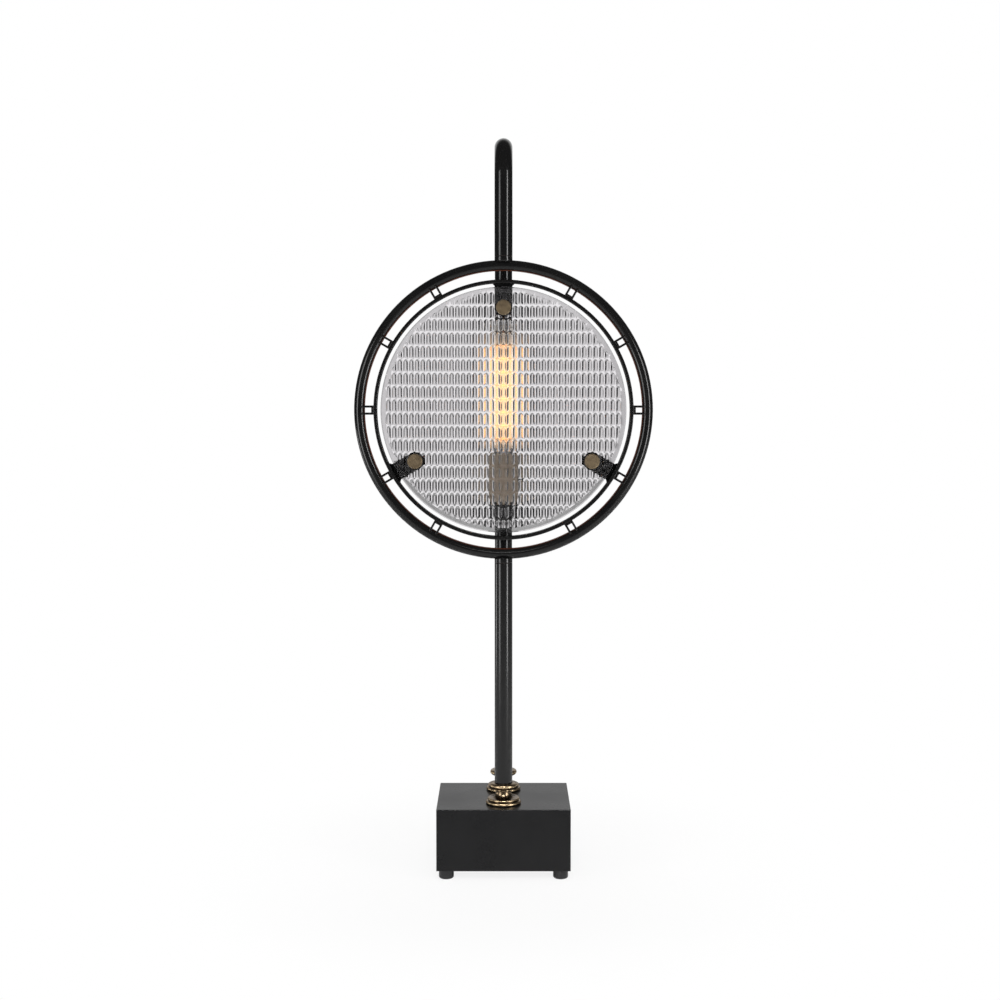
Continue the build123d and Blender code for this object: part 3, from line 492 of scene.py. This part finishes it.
def filament_finish(name):
    """Filaments that glow, a little cooler in places."""
    material, tree, shader = new_finish(name)
    grain = grain_in(tree, **filament_grain)
    tree.links.new(grain.outputs["Color"], shader.inputs["Emission Color"])
    tree.links.new(grain.outputs["Color"], shader.inputs["Base Color"])
    tree.links.new(grain.outputs["Roughness"], shader.inputs["Roughness"])
    shader.inputs["Emission Strength"].default_value = filament_strength
    return material


def paint_collar_highlights(material):
    """Painted highlights along the crests of a collar's beads, standing in for reflections of the
    studio lights, with the bronze left dark between them.
    """
    tree = material.node_tree
    shader = tree.nodes["Principled BSDF"]
    base_color, roughness = shader.inputs["Base Color"], shader.inputs["Roughness"]
    plain_color, plain_roughness = base_color.links[0].from_socket, roughness.links[0].from_socket
    low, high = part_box("front_collar")
    share = gate(tree, coordinates(tree, "Object")["Z"], low.z, high.z)
    # painted highlight: a bright colour by height along the bead crests, in place of the lights'
    # reflections
    crest = ramp_in(tree, share, collar_highlight_levels)
    tree.links.new(mix_color(tree, crest, plain_color, collar_highlight_color), base_color)
    roughness_with_crests = math_step(tree, "MULTIPLY_ADD", crest, collar_crest_roughness, plain_roughness)
    tree.links.new(roughness_with_crests, roughness)


def paint_ring_reflection(material):
    """A painted reflection of the bulb's warm light, as a dark copper colour along the inner side
    of the outer ring.
    """
    tree = material.node_tree
    base_color = tree.nodes["Principled BSDF"].inputs["Base Color"]
    plain_color = base_color.links[0].from_socket
    low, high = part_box("outer_ring")
    inner_radius = (high.x - low.x) / 2 - (high.y - low.y)
    to_axis = (0, 0, -(low.z + high.z) / 2)
    place = add(tree, "ShaderNodeTexCoord").outputs["Object"]
    across = vector_step(tree, "MULTIPLY_ADD", "Vector", place, (1, 0, 1), to_axis)
    distance = vector_step(tree, "LENGTH", "Value", across)
    # painted reflection: dark copper within a narrow band along the ring's inner side
    mask = gate(tree, distance, inner_radius + ring_reflection_width, inner_radius)
    tree.links.new(mix_color(tree, mask, plain_color, ring_reflection_color), base_color)


def light_bulb_glass(material):
    """A glow in a bulb's glass, beside its filaments and fading past their ends."""
    tree = material.node_tree
    shader = tree.nodes["Principled BSDF"]
    low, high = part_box("bulb_filaments")
    height = coordinates(tree, "Object")["Z"]
    rise = gate(tree, height, low.z - glow_fade, low.z + glow_fade)
    end = gate(tree, height, high.z + glow_fade, high.z - glow_fade)
    glow = mix_color(tree, math_step(tree, "MULTIPLY", rise, end), black, glow_color)
    tree.links.new(glow, shader.inputs["Emission Color"])
    shader.inputs["Emission Strength"].default_value = glow_strength


finishes = {name: solid_finish(name, **look) for name, look in solid_looks.items()}
finishes.update({name: glass_finish(name, **look) for name, look in glass_looks.items()})
finishes["filament"] = filament_finish("filament")
# painted highlights along the collars' bead crests
paint_collar_highlights(finishes["dark_bronze"])
# painted reflection of the bulb's warm light on the ring's inner side
paint_ring_reflection(finishes["ring_paint"])
light_bulb_glass(finishes["bulb_glass"])


def select_none():
    """Nothing selected, so that an operator takes only the new piece."""
    bpy.ops.object.select_all(action="DESELECT")


def select_only(piece):
    """One piece selected and active, so that an operator takes only that one."""
    select_none()
    piece.select_set(True)
    bpy.context.view_layer.objects.active = piece


def draw_out(profile, axis, center):
    """The selected loop drawn out along a profile of radii and places on an axis."""
    radius, place = profile[0]
    for next_radius, next_place in profile[1:]:
        move, grow = [0.0] * 3, [next_radius / radius] * 3
        move[axis], grow[axis] = next_place - place, 1.0
        bpy.ops.mesh.extrude_edges_move(TRANSFORM_OT_translate={"value": move})
        bpy.ops.transform.resize(value=grow, center_override=center)
        radius, place = next_radius, next_place


def flute_height(share):
    """Height of a flute above the valley beside it: a ridge with a round crown."""
    fall = hypot(share * flute_half_width, flute_crown_round) - flute_crown_round
    return flute_depth - flute_slope * fall


def blend(value, target, spare):
    """A height that turns into its target as the spare room beside it runs out."""
    share = max(0, min(1, spare / field_fade))
    return target + (value - target) * share


def lens_columns():
    """Each column of points across the field: its place, and its place across its own flute."""
    columns = [(-field_radius, 1.0)]
    reach = int(field_radius / cell_width) + 1
    for cell in range(-reach, reach + 1):
        for share in flute_column_shares:
            x = cell * cell_width + share * flute_half_width
            if abs(x) < field_radius - column_edge_gap:
                columns.append((x, share))
    columns.append((field_radius, 1.0))
    return columns


def lens_rows():
    """Each row of points up the field: its height, and the share of the flute's height there."""
    rows = []
    reach = int(field_radius / cell_height) + 2
    ends = [(row_bar_width / 2 + step, share) for step, share in flute_end_steps]
    end_height, _ = ends[-1]
    plain_height = cell_height - 2 * end_height
    plain_steps = round(plain_height / row_step)
    plain = [end_height + plain_height * step / plain_steps for step in range(1, plain_steps)]
    for row in range(-reach, reach):
        bottom = row_phase + row * cell_height
        rows += [(bottom + step, share) for step, share in ends]
        rows += [(bottom + step, 1.0) for step in plain]
        rows += [(bottom + cell_height - step, share) for step, share in reversed(ends)]
    return rows


def field_point(x, share, height, end_share, last_x):
    """One point of the lens's back, kept inside the round field."""
    inner_x = min(abs(x), last_x)
    half_chord = sqrt(field_radius ** 2 - inner_x ** 2)
    z = max(-half_chord, min(half_chord, height + row_arch * (1 - share ** 2)))
    if abs(x) > inner_x:
        x = copysign(sqrt(field_radius ** 2 - z ** 2), x)
    relief = row_bar_height + (flute_height(share) - row_bar_height) * end_share
    relief = blend(relief, row_bar_height, field_radius - hypot(x, z))
    for place in bolt_places:
        bolt_distance = hypot(x - place.x, z + lens_center_z - place.z)
        relief = blend(relief, flute_depth, bolt_distance - bolt_pad_radius)
    return (x, lens_back - flute_depth + relief, z + lens_center_z)


def drill_bolt_hole(lens, place):
    """A round hole through the lens at one bolt."""
    select_none()
    bpy.ops.mesh.primitive_cylinder_add(
        vertices=bolt_hole_sides,
        radius=bolt_hole_radius,
        depth=drill_reach * (lens_back - lens_front),
        location=(place.x, (lens_front + lens_back) / 2, place.z),
        rotation=(radians(90), 0, 0),
    )
    drill = bpy.context.object
    cut = lens.modifiers.new("bolt_hole", "BOOLEAN")
    cut.object = drill
    cut.solver = "MANIFOLD"
    select_only(lens)
    bpy.ops.object.modifier_apply(modifier=cut.name)
    bpy.data.objects.remove(drill)


def fluted_lens():
    """Lens with rows of arched flutes in its back, flat pads at its bolts and a smooth rim."""
    columns, rows = lens_columns(), lens_rows()
    last_x, _ = columns[-2]
    select_none()
    bpy.ops.mesh.primitive_grid_add(
        x_subdivisions=len(columns) - 1,
        y_subdivisions=len(rows) - 1,
        size=2 * field_radius,
    )
    lens = bpy.context.object
    lens.name = lens.data.name = "fluted_lens"
    for index, point in enumerate(lens.data.vertices):
        row, column = divmod(index, len(columns))
        point.co = field_point(*columns[column], *rows[row], last_x)
    bpy.ops.object.mode_set(mode="EDIT")
    bpy.ops.mesh.select_all(action="SELECT")
    bpy.ops.mesh.remove_doubles(threshold=lens_merge_distance)
    bpy.ops.mesh.select_all(action="SELECT")
    bpy.ops.mesh.region_to_loop()
    profile = [(field_radius, lens_back - flute_depth + row_bar_height)]
    profile += [(lens_radius - inset, lens_back - drop) for inset, drop in rim_steps]
    profile += [(lens_radius - inset, lens_front + drop) for inset, drop in reversed(rim_steps)]
    draw_out(profile, y_axis, (0, lens_front, lens_center_z))
    bpy.ops.mesh.edge_face_add()
    bpy.ops.mesh.select_all(action="SELECT")
    bpy.ops.mesh.normals_make_consistent(inside=False)
    bpy.ops.object.mode_set(mode="OBJECT")
    for place in bolt_places:
        drill_bolt_hole(lens, place)
    select_only(lens)
    bpy.ops.object.shade_smooth_by_angle(angle=smooth_angle)
    return lens


def half_round(root, reach, bottom, top):
    """Points up a bead that stands out from its root."""
    points = []
    for step in range(profile_steps + 1):
        turn = radians(180) * step / profile_steps
        radius = root + (reach - root) * sin(turn)
        points.append((radius, bottom + (top - bottom) * (1 - cos(turn)) / 2))
    return points


def sweep(start, pull, end):
    """Points along a curve from start to end, drawn towards a third point."""
    points = []
    for step in range(profile_steps + 1):
        t = step / profile_steps
        first, second, third = (1 - t) ** 2, 2 * t * (1 - t), t * t
        parts = zip(start, pull, end)
        points.append(tuple(first * a + second * b + third * c for a, b, c in parts))
    return points


def turned_collar():
    """Front collar, turned to its profile round the hole for its nipple."""
    low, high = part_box("front_collar")
    nipple_low, nipple_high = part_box("front_nipple")
    axis_x, axis_y = (low.x + high.x) / 2, (low.y + high.y) / 2
    bore = (nipple_high.x - nipple_low.x) / 2 + collar_bore_gap
    profile = [*half_round(*collar_foot_bead), *collar_groove, *half_round(*collar_second_bead)]
    profile += sweep(*collar_cove) + half_round(*collar_neck_bead)
    profile += sweep(*collar_cup) + sweep(*collar_crown)[1:]
    profile += [(bore, high.z - low.z), (bore, 0.0), profile[0]]
    foot_radius, foot_height = profile[0]
    select_none()
    bpy.ops.mesh.primitive_circle_add(
        vertices=collar_sides,
        radius=foot_radius,
        location=(axis_x, axis_y, low.z + foot_height),
    )
    collar = bpy.context.object
    collar.name = collar.data.name = "turned_front_collar"
    bpy.ops.object.transform_apply(location=True)
    bpy.ops.object.mode_set(mode="EDIT")
    bpy.ops.mesh.select_all(action="SELECT")
    draw_out(profile, z_axis, (axis_x, axis_y, low.z))
    bpy.ops.mesh.select_all(action="SELECT")
    bpy.ops.mesh.remove_doubles(threshold=collar_merge_distance)
    bpy.ops.mesh.normals_make_consistent(inside=False)
    bpy.ops.object.mode_set(mode="OBJECT")
    bpy.ops.object.shade_smooth_by_angle(angle=smooth_angle)
    return collar


def copied_collar(collar):
    """Rear collar, a copy of the front one at its own post."""
    front_low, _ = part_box("front_collar")
    rear_low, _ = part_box("rear_collar")
    select_only(collar)
    bpy.ops.object.duplicate(linked=False)
    rear = bpy.context.object
    rear.name = rear.data.name = "turned_rear_collar"
    rear.location = rear_low - front_low
    bpy.ops.object.transform_apply(location=True)
    return rear


for subpart in frame["record"]["subparts"]:
    node = subpart["node"]
    finish = own_finish.get(node, subpart["material_slot"])
    frame["nodes"][node].material_slots[0].material = finishes[finish]

lens = fluted_lens()
lens.data.materials.clear()
lens.data.materials.append(finishes["lens_glass"])
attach(lens, "lamp")
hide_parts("lens")

front_collar = turned_collar()
front_collar.data.materials.clear()
front_collar.data.materials.append(finishes["dark_bronze"])
rear_collar = copied_collar(front_collar)
for collar, node in ((front_collar, "front_collar"), (rear_collar, "rear_collar")):
    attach(collar, "lamp")
    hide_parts(node)


def studio_floor():
    """A pale floor that keeps the lamp's shadow and turns to plain white further out."""
    select_none()
    bpy.ops.mesh.primitive_plane_add(size=floor_size)
    floor = bpy.context.object
    floor.name = "studio_floor"
    material, tree, shader = new_finish("studio_floor")
    shader.inputs["Base Color"].default_value = floor_color
    shader.inputs["Roughness"].default_value = floor_roughness
    shader.inputs["Specular IOR Level"].default_value = 0.0
    place = add(tree, "ShaderNodeTexCoord").outputs["Object"]
    distance = vector_step(tree, "LENGTH", "Value", place)
    fade = gate(tree, distance, *floor_fade_reach, start=floor_fade_start,
                interpolation_type="SMOOTHSTEP")
    to_camera = add(tree, "ShaderNodeLightPath").outputs["Is Camera Ray"]
    seen = math_step(tree, "MULTIPLY", fade, to_camera)
    plain = add(tree, "ShaderNodeEmission").outputs[0]
    mix = add(tree, "ShaderNodeMixShader")
    for source, socket in zip((seen, shader.outputs[0], plain), mix.inputs):
        tree.links.new(source, socket)
    tree.links.new(mix.outputs[0], tree.nodes["Material Output"].inputs["Surface"])
    floor.data.materials.append(material)


def studio_world():
    """White to the camera. Glass sees a backdrop, and paint a dim room with a pale far wall."""
    world = bpy.data.worlds.new("studio")
    bpy.context.scene.world = world
    world.use_nodes = True
    tree = world.node_tree
    path = add(tree, "ShaderNodeLightPath").outputs
    way = coordinates(tree, "Generated")
    across, away, up = way["X"], way["Y"], way["Z"]
    stretch = gate(tree, up, *backdrop_low_band, start=1.0, end=backdrop_low_stretch)
    sideways = math_step(tree, "MULTIPLY", across, stretch)
    levels = [((place + 1) / 2, level) for place, level in backdrop_levels]
    through = ramp_in(tree, gate(tree, sideways, -1, 1), levels, backdrop_tint)
    edge = gate(tree, math_step(tree, "ABSOLUTE", up), *backdrop_edge_band)
    through = mix_color(tree, edge, through, backdrop_edge_color)
    ahead = gate(tree, math_step(tree, "ABSOLUTE", away), *backdrop_dark_band)
    through = mix_color(tree, ahead, backdrop_dark_color, through)
    far = gate(tree, away, *far_wall_away_band)
    high = gate(tree, up, *far_wall_up_band)
    mirrored = mix_color(tree, math_step(tree, "MULTIPLY", far, high), room_color, far_wall_color)
    lit = mix_color(tree, path["Is Glossy Ray"], ambient_color, mirrored)
    lit = mix_color(tree, path["Is Transmission Ray"], lit, through)
    shown = mix_color(tree, path["Is Camera Ray"], lit, white)
    tree.links.new(shown, tree.nodes["Background"].inputs["Color"])


def area_light(name, place, target, size, watts, mirrored=True, spread=radians(180)):
    """A softbox that faces the lamp. Glass shows the backdrop and not the box."""
    light = bpy.data.lights.new(name, "AREA")
    light.shape = "RECTANGLE"
    light.size, light.size_y = size
    light.energy = watts
    light.spread = spread
    box = bpy.data.objects.new(name, light)
    bpy.context.scene.collection.objects.link(box)
    box.location = place
    box.rotation_euler = (Vector(target) - Vector(place)).to_track_quat("-Z", "Y").to_euler()
    box.visible_camera = False
    box.visible_transmission = False
    box.visible_glossy = mirrored


def side_light(name, angle, height, size, watts):
    """A softbox on a circle round the lamp, its angle counted from the camera's side."""
    place = (softbox_distance * sin(angle), -softbox_distance * cos(angle), height)
    area_light(name, place, (0, 0, height), size, watts)


studio_floor()
studio_world()
side_light("softbox_left", -softbox_angle, softbox_height, left_softbox_size, left_softbox_watts)
side_light("softbox_right", softbox_angle, softbox_height, right_softbox_size, right_softbox_watts)
side_light("rim_light", -rim_light_angle, rim_light_height, rim_light_size, rim_light_watts)
area_light("top_light", (0, 0, top_light_height), (0, 0, 0), top_light_size, top_light_watts,
           mirrored=False)
area_light("base_light", base_light_place, base_light_target, base_light_size, base_light_watts,
           spread=base_light_spread)

camera_data = bpy.data.cameras.new("camera")
camera_data.lens = camera_lens
camera_data.shift_x, camera_data.shift_y = camera_shift
camera = bpy.data.objects.new("camera", camera_data)
bpy.context.scene.collection.objects.link(camera)
camera.location = camera_place
camera.rotation_euler = (radians(90) - camera_tilt, 0, 0)
bpy.context.scene.camera = camera
bpy.context.scene.view_settings.view_transform = "Standard"
